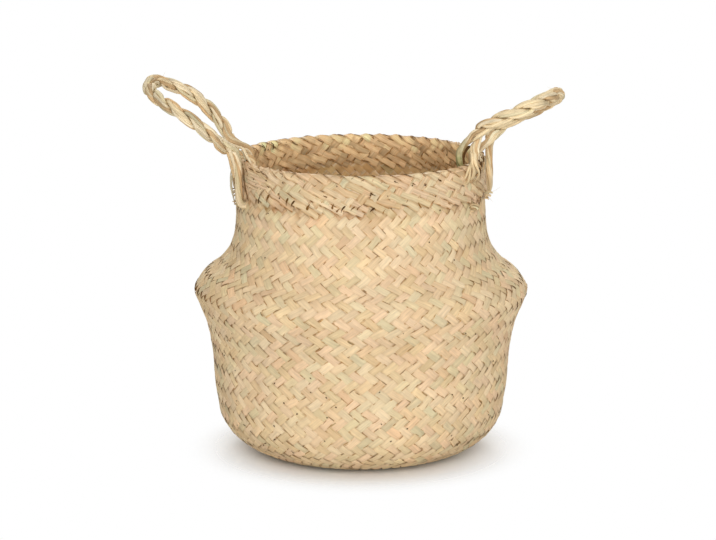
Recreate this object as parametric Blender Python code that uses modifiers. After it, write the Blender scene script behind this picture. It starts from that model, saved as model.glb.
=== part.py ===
"""Plaited seagrass belly basket: a round belly under a pinched neck, a border folded over the rim
and two rope handles, each twisted from two plies."""

import math

import bpy
from mathutils import Vector

# Basket wall, outside sizes in metres from the floor up
BASE_RADIUS = 0.062
CORNER_TOP_RADIUS = 0.1093
CORNER_HEIGHT = 0.041
BELLY_RADIUS = 0.126
BELLY_HEIGHT = 0.1235
NECK_FOOT_RADIUS = 0.101
NECK_FOOT_HEIGHT = 0.1535
NECK_RADIUS = 0.0941
RIM_RADIUS = 0.0935
BASKET_HEIGHT = 0.2259
WALL_THICKNESS = 0.003

# Border folded over the rim
BORDER_THICKNESS = 0.0018
OUTER_BORDER_DEPTH = 0.027
INNER_BORDER_DEPTH = 0.024
BORDER_TOOTH = 0.005
TOOTH_ROOT = 0.0015
FOLD_LAP = 0.004

# Rope handles
PLY_RADIUS = 0.0026
ROPE_TURNS = 6
ROOT_STRAIGHT = 0.006
HANDLE_REACH = 0.065
HANDLE_RISE = 0.046
HANDLE_HALF_WIDTH = 0.042
HINGE_RISE = 0.0052
LEFT_AZIMUTH_DEG = 184.0
RIGHT_AZIMUTH_DEG = -12.5
LEFT_LEG_SPREAD_DEG = 16.0
RIGHT_LEG_SPREAD_DEG = 18.5

# Where each leg's plies go through the wall: below the border, or one of them through the border
HOLE_DROP = 0.032
BORDER_HOLE_DROP = 0.013
HOLE_SPREAD = 0.0042
TAIL_BEND = 0.004
BORDER_TAIL_BEND = 0.0032
INSIDE_STUB = 0.0045
OUTSIDE_STUB = 0.005
TIP_LENGTH = 0.0022

# Clearances
SEAT_GAP = 0.0003
PLY_GAP = 0.0006
BALL_GAP = 0.0005
CUT_OVERRUN = 0.004

# Facets
RING_SEGMENTS = 76
CORNER_STEPS = 4
FOLD_STEPS = 3
POINTS_PER_TURN = 9
CORD_BEVEL_RESOLUTION = 2
HOLE_SIDES = 10

# Shares of the way from the corner to the belly crease: out, up
LOWER_WALL_SHARES = ((0.12, 0.15), (0.22, 0.44), (0.47, 0.71), (0.83, 0.90))
# Shares of the way from the belly crease to the neck's foot: in, up
SHOULDER_SHARES = ((0.07, 0.18), (0.29, 0.44), (0.70, 0.70))
# Shares from the neck's foot to the rim: of the foot's flare that is left, up
NECK_SHARES = ((0.54, 0.09), (0.20, 0.21), (0.05, 0.36), (0.0, 0.46))
# Rope route after its straight root, front leg to rear leg: reach, half width, rise
LEFT_ROUTE_SHARES = (
    (0.15, -0.75, 0.14),
    (0.28, -0.87, 0.31),
    (0.43, -0.96, 0.50),
    (0.58, -0.99, 0.67),
    (0.72, -0.91, 0.79),
    (0.84, -0.73, 0.88),
    (0.94, -0.45, 0.95),
    (0.99, -0.05, 1.01),
    (0.97, 0.38, 1.04),
    (0.89, 0.68, 1.02),
    (0.76, 0.87, 0.94),
    (0.62, 0.96, 0.85),
    (0.50, 1.00, 0.75),
    (0.39, 0.98, 0.63),
    (0.29, 0.94, 0.50),
    (0.21, 0.88, 0.37),
    (0.14, 0.79, 0.24),
)
RIGHT_ROUTE_SHARES = (
    (0.01, -0.78, 0.25),
    (0.03, -0.84, 0.37),
    (0.09, -0.91, 0.49),
    (0.18, -0.97, 0.59),
    (0.30, -1.00, 0.68),
    (0.44, -0.98, 0.76),
    (0.60, -0.87, 0.86),
    (0.73, -0.68, 0.94),
    (0.82, -0.42, 0.99),
    (0.86, 0.00, 0.98),
    (0.83, 0.38, 0.89),
    (0.73, 0.65, 0.77),
    (0.59, 0.85, 0.65),
    (0.43, 0.96, 0.52),
    (0.27, 1.00, 0.41),
    (0.15, 0.95, 0.31),
    (0.07, 0.87, 0.22),
)
# Direction in which each rope leaves the rim, up from level
LEFT_ROOT_RISE_DEG = 40.0
RIGHT_ROOT_RISE_DEG = 75.0
# Direction from the hinge to where the inner ply starts, below level and inward
INNER_START_DEG = 30.0

# Sizes that follow from the ones above
FOLD_INNER_RADIUS = WALL_THICKNESS / 2 + SEAT_GAP
FOLD_OUTER_RADIUS = FOLD_INNER_RADIUS + BORDER_THICKNESS
WALL_TOP = BASKET_HEIGHT - FOLD_OUTER_RADIUS
WALL_TOP_RADIUS = RIM_RADIUS - BORDER_THICKNESS - SEAT_GAP
RIM_MID_RADIUS = RIM_RADIUS - FOLD_OUTER_RADIUS
PLY_OFFSET = PLY_RADIUS + PLY_GAP / 2
HINGE_RADIUS = RIM_RADIUS + PLY_RADIUS + SEAT_GAP
HINGE_HEIGHT = BASKET_HEIGHT + HINGE_RISE

UP = Vector((0, 0, 1))


def start_scene():
    for item in list(bpy.data.objects):
        bpy.data.objects.remove(item, do_unlink=True)
    parts = bpy.data.collections.new("belly_basket")
    cutters = bpy.data.collections.new("cutters")
    bpy.context.scene.collection.children.link(parts)
    bpy.context.scene.collection.children.link(cutters)
    return parts, cutters


def make_material(name, color, roughness):
    material = bpy.data.materials.new(name)
    material.use_nodes = True
    shader = material.node_tree.nodes["Principled BSDF"]
    shader.inputs["Base Color"].default_value = (*color, 1)
    shader.inputs["Roughness"].default_value = roughness
    shader.inputs["Metallic"].default_value = 0
    return material


# Profiles: lists of (radius, height)


def wall_outer_profile():
    """Outside of the plaited wall from the edge of the flat base to its top, with the indices of
    the belly crease and of the neck's foot."""
    points = []
    for step in range(CORNER_STEPS + 1):
        angle = math.pi / 2 * step / CORNER_STEPS
        radius = BASE_RADIUS + (CORNER_TOP_RADIUS - BASE_RADIUS) * math.sin(angle)
        points.append((radius, CORNER_HEIGHT * (1 - math.cos(angle))))
    for out, up in LOWER_WALL_SHARES:
        radius = CORNER_TOP_RADIUS + (BELLY_RADIUS - CORNER_TOP_RADIUS) * out
        points.append((radius, CORNER_HEIGHT + (BELLY_HEIGHT - CORNER_HEIGHT) * up))
    belly = len(points)
    points.append((BELLY_RADIUS, BELLY_HEIGHT))
    for inward, up in SHOULDER_SHARES:
        radius = BELLY_RADIUS + (NECK_FOOT_RADIUS - BELLY_RADIUS) * inward
        points.append((radius, BELLY_HEIGHT + (NECK_FOOT_HEIGHT - BELLY_HEIGHT) * up))
    foot = len(points)
    points.append((NECK_FOOT_RADIUS, NECK_FOOT_HEIGHT))
    for flare, up in NECK_SHARES:
        radius = NECK_RADIUS + (NECK_FOOT_RADIUS - NECK_RADIUS) * flare
        points.append((radius, NECK_FOOT_HEIGHT + (BASKET_HEIGHT - NECK_FOOT_HEIGHT) * up))
    points.append((WALL_TOP_RADIUS, WALL_TOP))
    return points, belly, foot


def offset_profile(points, distance):
    """The profile moved to its left by distance, with mitred corners."""
    moved = []
    for index, (radius, height) in enumerate(points):
        normals = []
        for start in (index - 1, index):
            if 0 <= start < len(points) - 1:
                along = Vector(points[start + 1]) - Vector(points[start])
                normals.append(Vector((-along.y, along.x)).normalized())
        bisector = sum(normals, Vector((0, 0))).normalized()
        shift = bisector * (distance / bisector.dot(normals[0]))
        moved.append((radius + shift.x, height + shift.y))
    return moved


def point_along(start, end, distance):
    return tuple(Vector(start) + (Vector(end) - Vector(start)).normalized() * distance)


def radius_at(points, height):
    """Radius of a profile at a height on its upper part."""
    for lower, upper in zip(points, points[1:]):
        if lower[1] <= height <= upper[1]:
            share = (height - lower[1]) / (upper[1] - lower[1])
            return lower[0] + (upper[0] - lower[0]) * share
    return points[-1][0]


def part_of_profile(points, low, high):
    """The stretch of a profile between two heights."""
    middle = [point for point in points if low < point[1] < high]
    return [(radius_at(points, low), low), *middle, (radius_at(points, high), high)]


def section(outer, inner):
    """A closed section that runs down its outer side and up its inner side."""
    return list(reversed(outer)) + list(inner)


# Turned pieces


def new_object(name, data, collection, material=None):
    item = bpy.data.objects.new(name, data)
    collection.objects.link(item)
    if material:
        data.materials.append(material)
    return item


def add_turned(name, loop, collection, material):
    """A ring: a closed section at +X turned about the basket's axis."""
    mesh = bpy.data.meshes.new(name)
    edges = [(index, (index + 1) % len(loop)) for index in range(len(loop))]
    mesh.from_pydata([(radius, 0, height) for radius, height in loop], edges, [])
    item = new_object(name, mesh, collection, material)
    screw = item.modifiers.new("turn", "SCREW")
    screw.steps = RING_SEGMENTS
    screw.render_steps = RING_SEGMENTS
    screw.use_merge_vertices = True
    screw.merge_threshold = SEAT_GAP / 10
    return item


def made_mesh(item, name):
    """The object's evaluated mesh as a mesh of its own, in place of the object."""
    graph = bpy.context.evaluated_depsgraph_get()
    mesh = bpy.data.meshes.new_from_object(item.evaluated_get(graph))
    old_data = item.data
    bpy.data.objects.remove(item, do_unlink=True)
    if isinstance(old_data, bpy.types.Mesh):
        bpy.data.meshes.remove(old_data)
    mesh.name = name
    return mesh


def add_toothed_ring(name, loop, wall, low_edge, collection, material):
    """A turned ring whose lower edge is raised at every second spoke, along the wall that it
    lies on, which gives it teeth."""
    mesh = made_mesh(add_turned(name, loop, collection, material), name)
    step_out = radius_at(wall, low_edge + BORDER_TOOTH) - radius_at(wall, low_edge)
    for vertex in mesh.vertices:
        spoke = round(math.atan2(vertex.co.y, vertex.co.x) / (2 * math.pi) * RING_SEGMENTS)
        if spoke % 2 and vertex.co.z < low_edge + TOOTH_ROOT:
            out = Vector((vertex.co.x, vertex.co.y, 0)).normalized()
            vertex.co += out * step_out + UP * BORDER_TOOTH
    return new_object(name, mesh, collection)


def shade_round(item):
    item.data.shade_smooth()
    item.data.set_sharp_from_angle(angle=math.radians(40))


def add_basket(parts, materials, outer, inner, belly, foot):
    bpy.ops.mesh.primitive_cone_add(
        vertices=RING_SEGMENTS,
        radius1=outer[0][0] - SEAT_GAP,
        radius2=inner[0][0] - SEAT_GAP,
        depth=WALL_THICKNESS,
        location=(0, 0, WALL_THICKNESS / 2),
    )
    base = bpy.context.object
    base.name = "base_mat"
    base.data.materials.append(materials["weave"])
    for collection in list(base.users_collection):
        collection.objects.unlink(base)
    parts.objects.link(base)

    add_turned("belly_wall", section(outer[: belly + 1], inner[: belly + 1]), parts, materials["weave"])

    shoulder_outer = list(outer[belly : foot + 1])
    shoulder_inner = list(inner[belly : foot + 1])
    shoulder_outer[0] = point_along(outer[belly], outer[belly + 1], SEAT_GAP)
    shoulder_inner[0] = point_along(inner[belly], inner[belly + 1], SEAT_GAP)
    add_turned("shoulder_band", section(shoulder_outer, shoulder_inner), parts, materials["weave"])

    neck_outer = list(outer[foot:])
    neck_inner = list(inner[foot:])
    neck_outer[0] = point_along(outer[foot], outer[foot + 1], SEAT_GAP)
    neck_inner[0] = point_along(inner[foot], inner[foot + 1], SEAT_GAP)
    return add_turned("neck_wall", section(neck_outer, neck_inner), parts, materials["weave"])


def add_border(parts, materials, neck_outer, neck_inner):
    """The border's outer half, which folds over the rim, and its inner half below the fold."""
    low = BASKET_HEIGHT - OUTER_BORDER_DEPTH
    path = [(radius + SEAT_GAP, height) for radius, height in toothed_part(neck_outer, low, WALL_TOP)]
    for step in range(1, FOLD_STEPS + 1):
        angle = math.pi * step / FOLD_STEPS
        radius = RIM_MID_RADIUS + FOLD_INNER_RADIUS * math.cos(angle)
        path.append((radius, WALL_TOP + FOLD_INNER_RADIUS * math.sin(angle)))
    lap_height = WALL_TOP - FOLD_LAP
    path.append((radius_at(neck_inner, lap_height) - SEAT_GAP, lap_height))
    outside = offset_profile(path, -BORDER_THICKNESS)
    loop = section(outside, path)
    outer = add_toothed_ring("outer_rim_border", loop, neck_outer, low, parts, materials["border"])

    low = BASKET_HEIGHT - INNER_BORDER_DEPTH
    high = lap_height - SEAT_GAP
    path = [(radius - SEAT_GAP, height) for radius, height in toothed_part(neck_inner, low, high)]
    inside = offset_profile(path, BORDER_THICKNESS)
    loop = section(path, inside)
    inner = add_toothed_ring("inner_rim_border", loop, neck_inner, low, parts, materials["border"])
    return outer, inner


def toothed_part(points, low, high):
    """The stretch of a profile between two heights, with a ring of points just above its teeth."""
    root = low + BORDER_TOOTH + TOOTH_ROOT
    return [(radius_at(points, low), low), *part_of_profile(points, root, high)]


# Cords


def smooth_points(controls, spacing):
    """Points about spacing apart on a smooth curve through the controls, ends included."""
    first = controls[0] * 2 - controls[1]
    last = controls[-1] * 2 - controls[-2]
    ends = [first, *controls, last]
    dense = []
    for before, start, end, after in zip(ends, ends[1:], ends[2:], ends[3:]):
        for step in range(12):
            t = step / 12
            bend = (2 * before - 5 * start + 4 * end - after) * t**2
            turn = (-before + 3 * start - 3 * end + after) * t**3
            dense.append((2 * start + (end - before) * t + bend + turn) / 2)
    dense.append(controls[-1])
    return spaced_points(dense, spacing)


def spaced_points(dense, spacing):
    lengths = [0.0]
    for start, end in zip(dense, dense[1:]):
        lengths.append(lengths[-1] + (end - start).length)
    count = max(2, round(lengths[-1] / spacing))
    points, index = [], 0
    for step in range(count + 1):
        target = lengths[-1] * step / count
        while index < len(lengths) - 2 and lengths[index + 1] < target:
            index += 1
        share = (target - lengths[index]) / (lengths[index + 1] - lengths[index])
        points.append(dense[index].lerp(dense[index + 1], min(share, 1)))
    return points


def add_cord(name, points, radius_shares, collection, material, origin):
    """A ply as a filled tube with its own radius at each point."""
    curve = bpy.data.curves.new(name, "CURVE")
    curve.dimensions = "3D"
    curve.bevel_depth = PLY_RADIUS
    curve.bevel_resolution = CORD_BEVEL_RESOLUTION
    curve.use_fill_caps = True
    spline = curve.splines.new("POLY")
    spline.points.add(len(points) - 1)
    for knot, point, share in zip(spline.points, points, radius_shares):
        knot.co = (*(point - origin), 1)
        knot.radius = share
    item = new_object(name, curve, collection, material)
    item.location = origin
    return item


# A rounded end: how far along the ball's radius, and the tube's share of full radius there
BALL_SHARES = ((-1.0, 0.18), (-0.9, 0.44), (-0.6, 0.80), (0.0, 1.0))


class Handle:
    """One rope handle: its hinge line, its two legs and the directions that they share."""

    def __init__(self, name, azimuth_deg, leg_spread_deg, root_rise_deg, route_shares, front_drop):
        self.name = name
        self.root_rise = math.radians(root_rise_deg)
        self.route_shares = route_shares
        self.front_drop = front_drop
        azimuth = math.radians(azimuth_deg)
        spread = math.radians(leg_spread_deg)
        self.outward = Vector((math.cos(azimuth), math.sin(azimuth), 0))
        rearward = Vector((-math.sin(azimuth), math.cos(azimuth), 0))
        self.rearward = rearward if rearward.y > 0 else -rearward
        self.leg_half_width = HINGE_RADIUS * math.sin(spread)
        self.hinge = self.outward * HINGE_RADIUS * math.cos(spread) + UP * HINGE_HEIGHT

    def place(self, reach, side, rise):
        return self.hinge + self.outward * reach + self.rearward * side + UP * rise

    def rope_controls(self):
        reach = ROOT_STRAIGHT * math.cos(self.root_rise)
        rise = ROOT_STRAIGHT * math.sin(self.root_rise)
        half = self.leg_half_width
        front = [self.place(0, -half, 0), self.place(reach, -half, rise)]
        rear = [self.place(reach, half, rise), self.place(0, half, 0)]
        route = []
        for out, side, up in self.route_shares:
            route.append(self.place(HANDLE_REACH * out, HANDLE_HALF_WIDTH * side, HANDLE_RISE * up))
        return front + route + rear

    def add_rope(self, parts, material):
        """The two plies, side by side on the hinge line at each root and twisted in between."""
        spacing = HANDLE_HALF_WIDTH / 64
        line = smooth_points(self.rope_controls(), spacing)
        length = sum((end - start).length for start, end in zip(line, line[1:]))
        twisted = length - 2 * ROOT_STRAIGHT
        count = ROPE_TURNS * POINTS_PER_TURN
        distances = [0.0]
        distances += [ROOT_STRAIGHT + twisted * step / count for step in range(count + 1)]
        distances.append(length)
        slope = math.atan2(HANDLE_RISE, HANDLE_REACH)
        face = UP * math.cos(slope) - self.outward * math.sin(slope)
        for label, start_phase in (("first", 0.0), ("second", math.pi)):
            points = []
            for distance in distances:
                turn = min(max((distance - ROOT_STRAIGHT) / twisted, 0), 1)
                phase = start_phase + turn * ROPE_TURNS * 2 * math.pi
                points.append(ply_point(line, distance / length, face, phase))
            points, shares = with_ball_ends(points)
            add_cord(f"{self.name}_rope_{label}_ply", points, shares, parts, material, self.hinge)

    def legs(self):
        """Each leg's name, root, way out along the rim and its outer tail's drop to its hole."""
        for side_name, side, drop in (("front", -1, self.front_drop), ("rear", 1, HOLE_DROP)):
            root = self.place(0, self.leg_half_width * side, 0)
            yield side_name, root, self.rearward * side, drop


def ply_point(line, share, face, phase):
    position = share * (len(line) - 1)
    index = min(int(position), len(line) - 2)
    point = line[index].lerp(line[index + 1], position - index)
    before = max(index - 1, 0)
    after = min(index + 2, len(line) - 1)
    along = (line[after] - line[before]).normalized()
    side = along.cross(face).normalized()
    lift = side.cross(along)
    return point + (side * math.cos(phase) - lift * math.sin(phase)) * PLY_OFFSET


def with_ball_ends(points):
    """Adds a half ball at each end, centred on the first and the last point."""
    start_way = (points[1] - points[0]).normalized()
    end_way = (points[-2] - points[-1]).normalized()
    start, start_shares, end, end_shares = [], [], [], []
    for along, share in BALL_SHARES:
        start.append(points[0] + start_way * (PLY_RADIUS * along))
        start_shares.append(share)
        end.insert(0, points[-1] + end_way * (PLY_RADIUS * along))
        end_shares.insert(0, share)
    middle = points[1:-1]
    return start + middle + end, start_shares + [1.0] * len(middle) + end_shares


def leg_frame(root, away):
    """Outward and sideways directions of the wall at a leg, sideways towards its outer ply."""
    outward = Vector((root.x, root.y, 0)).normalized()
    sideways = UP.cross(outward)
    return outward, sideways if sideways.dot(away) > 0 else -sideways


def quarter_arc(center, start, end, steps):
    """Points of a quarter circle about center, from its start arm to its end arm."""
    points = []
    for step in range(steps + 1):
        angle = math.pi / 2 * step / steps
        points.append(center + start * math.cos(angle) + end * math.sin(angle))
    return points


def tail_points(route, outward, sideways, shifts):
    """Points of a ply's route, given as (radius, height), with its sideways place changing
    evenly from the first of the shifts to the second over the upper half of the route."""
    top, bottom = route[0].y, min(point.y for point in route)
    points = []
    for point in route:
        share = min((top - point.y) / (top - bottom) * 2, 1)
        shift = shifts[0] + (shifts[1] - shifts[0]) * share
        points.append(outward * point.x + sideways * shift + UP * point.y)
    return points


def pointed_shares(points):
    """Radius shares of a ply that starts in a blunt point and ends blunt."""
    shares, distance = [], 0.0
    for index, point in enumerate(points):
        if index:
            distance += (point - points[index - 1]).length
        shares.append(min(0.3 + 0.7 * distance / TIP_LENGTH, 1.0))
    shares[-1] = 0.75
    return shares


def outer_tail_route(start, neck_outer, neck_inner, drop):
    """Down the outside of the border and in through the wall, as (radius, height)."""
    face = SEAT_GAP + BORDER_THICKNESS + SEAT_GAP + PLY_RADIUS
    height = BASKET_HEIGHT - drop
    inside = radius_at(neck_inner, height) - INSIDE_STUB
    above_bend = []
    if drop < OUTER_BORDER_DEPTH:
        size = BORDER_TAIL_BEND
        low_radius = radius_at(neck_outer, height) + face
        inside -= BORDER_THICKNESS + SEAT_GAP
    else:
        size = TAIL_BEND
        low_radius = radius_at(neck_outer, BASKET_HEIGHT - OUTER_BORDER_DEPTH) + face
        above_bend.append(Vector((low_radius, BASKET_HEIGHT - OUTER_BORDER_DEPTH + BORDER_TOOTH)))
    bend = Vector((low_radius - size, height + size))
    arc = quarter_arc(bend, Vector((size, 0)), Vector((0, -size)), 3)
    high_radius = max(WALL_TOP_RADIUS + face, start.x)
    over = [start, start - Vector((0, TIP_LENGTH)), Vector((high_radius, WALL_TOP))]
    return [*over, *above_bend, *arc, Vector((inside, height))]


def inner_tail_route(start, neck_outer, neck_inner):
    """Over the fold, down the inside of the border and out through the wall."""
    reach = FOLD_OUTER_RADIUS + SEAT_GAP + PLY_RADIUS
    crown = Vector((RIM_MID_RADIUS, WALL_TOP))
    over = quarter_arc(crown, Vector((0, reach)), Vector((-reach, 0)), 4)
    face = SEAT_GAP + BORDER_THICKNESS + SEAT_GAP + PLY_RADIUS
    low_radius = radius_at(neck_inner, BASKET_HEIGHT - INNER_BORDER_DEPTH) - face
    height = BASKET_HEIGHT - HOLE_DROP
    bend = Vector((low_radius + TAIL_BEND, height + TAIL_BEND))
    arc = quarter_arc(bend, Vector((-TAIL_BEND, 0)), Vector((0, -TAIL_BEND)), 3)
    outside = radius_at(neck_outer, height) + OUTSIDE_STUB
    slope_start = Vector((over[-1].x, WALL_TOP - FOLD_LAP))
    return [start, *over, slope_start, *arc, Vector((outside, height))]


def add_tails(handle, parts, material, neck_outer, neck_inner):
    """Each leg's two plies beyond the hinge: one outside the rim, one over it and inside."""
    for side_name, root, away, drop in handle.legs():
        outward, sideways = leg_frame(root, away)
        outer_ball = root + away * PLY_OFFSET
        inner_ball = root - away * PLY_OFFSET

        start = Vector((outer_ball.dot(outward), outer_ball.z - PLY_RADIUS - BALL_GAP))
        shifts = (outer_ball.dot(sideways), HOLE_SPREAD)
        route = outer_tail_route(start, neck_outer, neck_inner, drop)
        points = tail_points(route, outward, sideways, shifts)
        name = f"{handle.name}_{side_name}_outer_tail"
        add_cord(name, points, pointed_shares(points), parts, material, root)

        angle = math.radians(INNER_START_DEG)
        away_in = PLY_RADIUS + BALL_GAP
        start = Vector((inner_ball.dot(outward), inner_ball.z))
        start -= Vector((math.cos(angle), math.sin(angle))) * away_in
        shifts = (inner_ball.dot(sideways), -HOLE_SPREAD)
        route = inner_tail_route(start, neck_outer, neck_inner)
        points = tail_points(route, outward, sideways, shifts)
        name = f"{handle.name}_{side_name}_inner_tail"
        add_cord(name, points, pointed_shares(points), parts, material, root)


def add_cutter(name, center, outward, length, cutters):
    bpy.ops.mesh.primitive_cylinder_add(
        vertices=HOLE_SIDES,
        radius=(PLY_RADIUS + SEAT_GAP) / math.cos(math.pi / HOLE_SIDES),
        depth=length,
        location=center,
        rotation=outward.to_track_quat("Z", "Y").to_euler(),
    )
    cutter = bpy.context.object
    cutter.name = name
    cutter.hide_render = True
    cutter.display_type = "WIRE"
    for collection in list(cutter.users_collection):
        collection.objects.unlink(cutter)
    cutters.objects.link(cutter)
    return cutter


def cut(item, cutter):
    boolean = item.modifiers.new(cutter.name, "BOOLEAN")
    boolean.operation = "DIFFERENCE"
    boolean.solver = "EXACT"
    boolean.object = cutter


def cut_holes(neck, borders, handle, cutters, neck_outer, neck_inner):
    """A hole for each tail: through the wall, and through both halves of the border where the
    tail goes in above the border's lower edge."""
    for side_name, root, away, outer_drop in handle.legs():
        outward, sideways = leg_frame(root, away)
        for label, shift, drop in (("outer", HOLE_SPREAD, outer_drop), ("inner", -HOLE_SPREAD, HOLE_DROP)):
            height = BASKET_HEIGHT - drop
            low = radius_at(neck_inner, height) - CUT_OVERRUN
            high = radius_at(neck_outer, height) + CUT_OVERRUN
            center = outward * (low + high) / 2 + sideways * shift + UP * height
            name = f"cut_{handle.name}_{side_name}_{label}"
            cutter = add_cutter(name, center, outward, high - low, cutters)
            cut(neck, cutter)
            if drop < OUTER_BORDER_DEPTH:
                for border in borders:
                    cut(border, cutter)


def main():
    parts, cutters = start_scene()
    materials = {
        "weave": make_material("plaited_seagrass", (0.62, 0.46, 0.27), 0.75),
        "border": make_material("border_seagrass", (0.68, 0.51, 0.31), 0.72),
        "rope": make_material("rope_seagrass", (0.66, 0.51, 0.30), 0.78),
    }
    outer, belly, foot = wall_outer_profile()
    inner = offset_profile([(0, 0), *outer], WALL_THICKNESS)[1:]
    neck = add_basket(parts, materials, outer, inner, belly, foot)
    neck_outer = outer[foot:]
    neck_inner = inner[foot:]
    borders = add_border(parts, materials, neck_outer, neck_inner)
    left = Handle(
        "left_handle", LEFT_AZIMUTH_DEG, LEFT_LEG_SPREAD_DEG, LEFT_ROOT_RISE_DEG, LEFT_ROUTE_SHARES, HOLE_DROP
    )
    right = Handle(
        "right_handle",
        RIGHT_AZIMUTH_DEG,
        RIGHT_LEG_SPREAD_DEG,
        RIGHT_ROOT_RISE_DEG,
        RIGHT_ROUTE_SHARES,
        BORDER_HOLE_DROP,
    )
    for handle in (left, right):
        handle.add_rope(parts, materials["rope"])
        add_tails(handle, parts, materials["rope"], neck_outer, neck_inner)
        cut_holes(neck, borders, handle, cutters, neck_outer, neck_inner)
    for item in parts.objects:
        if isinstance(item.data, bpy.types.Mesh):
            shade_round(item)


main()
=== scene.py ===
"""Seagrass belly basket: plaited wall, border folded over the rim and two twisted rope handles."""

import math

import bpy
import numpy as np
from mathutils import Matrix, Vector, noise


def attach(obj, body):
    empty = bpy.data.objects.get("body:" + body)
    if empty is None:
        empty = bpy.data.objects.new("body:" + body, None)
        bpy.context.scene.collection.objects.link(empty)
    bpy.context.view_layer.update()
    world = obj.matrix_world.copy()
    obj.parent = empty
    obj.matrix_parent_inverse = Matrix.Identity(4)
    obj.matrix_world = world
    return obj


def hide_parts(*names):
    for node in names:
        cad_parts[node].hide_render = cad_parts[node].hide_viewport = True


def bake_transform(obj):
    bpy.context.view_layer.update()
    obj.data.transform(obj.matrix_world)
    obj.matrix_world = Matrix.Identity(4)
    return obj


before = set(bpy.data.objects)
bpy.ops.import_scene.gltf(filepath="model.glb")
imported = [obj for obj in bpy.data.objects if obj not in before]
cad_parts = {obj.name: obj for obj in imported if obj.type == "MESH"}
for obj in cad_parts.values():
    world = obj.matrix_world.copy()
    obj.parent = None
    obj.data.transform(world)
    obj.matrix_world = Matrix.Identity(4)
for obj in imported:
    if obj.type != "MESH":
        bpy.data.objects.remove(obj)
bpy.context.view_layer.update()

rng = np.random.default_rng(7)

# Sizes in metres. The wall's profile is its outside, from the edge of the flat base upwards.
BASE_RADIUS = 0.062
CORNER_TOP = (0.1093, 0.041)
BELLY = (0.126, 0.1235)
NECK_FOOT = (0.101, 0.1535)
NECK_RADIUS = 0.0941
RIM_RADIUS = 0.0935
RIM_HEIGHT = 0.2259
WALL_THICKNESS = 0.003
BORDER_THICKNESS = 0.0018
GAP = 0.0003
FOLD_INNER = WALL_THICKNESS / 2 + GAP
WALL_TOP = RIM_HEIGHT - FOLD_INNER - BORDER_THICKNESS
WALL_TOP_RADIUS = RIM_RADIUS - BORDER_THICKNESS - GAP
RIM_MID = RIM_RADIUS - FOLD_INNER - BORDER_THICKNESS

FULL_TURN = 2 * math.pi


def smoothstep(value):
    value = np.clip(value, 0, 1)
    return value * value * (3 - 2 * value)


def unit(vectors):
    return vectors / np.linalg.norm(vectors, axis=-1, keepdims=True)


def arc_lengths(points):
    """How far along a line each of its points is."""
    steps = np.linalg.norm(np.diff(points, axis=0), axis=1)
    return np.concatenate([[0], np.cumsum(steps)])


def smooth_line(points, per_span=16):
    """A smooth line through the points (any number of columns)."""
    points = np.asarray(points, float)
    ends = np.vstack([2 * points[0] - points[1], points, 2 * points[-1] - points[-2]])
    t = (np.arange(per_span) / per_span)[:, None]
    rows = []
    for i in range(len(points) - 1):
        p0, p1, p2, p3 = ends[i : i + 4]
        bend = (2 * p0 - 5 * p1 + 4 * p2 - p3) * t**2
        turn = (-p0 + 3 * p1 - 3 * p2 + p3) * t**3
        rows.append((2 * p1 + (p2 - p0) * t + bend + turn) / 2)
    rows.append(points[-1:])
    return np.vstack(rows)


def resample(points, spacing):
    arc = arc_lengths(points)
    places = np.linspace(0, arc[-1], max(3, round(arc[-1] / spacing) + 1))
    return np.stack([np.interp(places, arc, column) for column in points.T], 1)


# Profile of the wall

# Points between the named ones, as shares of the way out or in, and up
CORNER_TO_BELLY = ((0.12, 0.15), (0.22, 0.44), (0.47, 0.71), (0.83, 0.90))
BELLY_TO_NECK = ((0.07, 0.18), (0.29, 0.44), (0.70, 0.70))
NECK_FLARE = ((0.54, 0.09), (0.20, 0.21), (0.05, 0.36), (0.0, 0.46))


def between(start, end, shares):
    return [(start[0] + (end[0] - start[0]) * a, start[1] + (end[1] - start[1]) * b) for a, b in shares]


def wall_points():
    points = [(0.0, 0.0), (0.03, 0.0), (BASE_RADIUS - 0.006, 0.0)]
    for angle in np.linspace(0, math.pi / 2, 6):
        radius = BASE_RADIUS + (CORNER_TOP[0] - BASE_RADIUS) * math.sin(angle)
        points.append((radius, CORNER_TOP[1] * (1 - math.cos(angle))))
    points += between(CORNER_TOP, BELLY, CORNER_TO_BELLY) + [BELLY]
    points += between(BELLY, NECK_FOOT, BELLY_TO_NECK) + [NECK_FOOT]
    points += between((NECK_RADIUS, NECK_FOOT[1]), (NECK_FOOT[0], RIM_HEIGHT), NECK_FLARE)
    points.append((WALL_TOP_RADIUS, WALL_TOP))
    return np.array(points)


class Line:
    """A line in the (radius, height) plane, read by arc length, with outward normals."""

    def __init__(self, points):
        self.points = points
        self.arc = arc_lengths(points)
        along = unit(np.gradient(points, axis=0))
        self.normals = np.stack([along[:, 1], -along[:, 0]], axis=1)
        self.length = self.arc[-1]

    def offset(self, distance):
        points = self.points + self.normals * distance
        points[:, 0] = np.maximum(points[:, 0], 0)
        return Line(points)

    def read(self, values, arc):
        return np.stack([np.interp(arc, self.arc, column) for column in values.T], -1)

    def at(self, arc):
        return self.read(self.points, arc), unit(self.read(self.normals, arc))

    def arc_at_height(self, height):
        upper = self.points[:, 1] > 0.002
        return np.interp(height, self.points[upper, 1], self.arc[upper])

    def at_height(self, height):
        return self.read(self.points, self.arc_at_height(height))


def surface(line, arc, theta):
    """Points and outward normals of the turned line."""
    c, s = np.cos(theta), np.sin(theta)
    place, out = (np.stack([v[..., 0] * c, v[..., 0] * s, v[..., 1]], -1) for v in line.at(arc))
    return place, out


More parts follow.
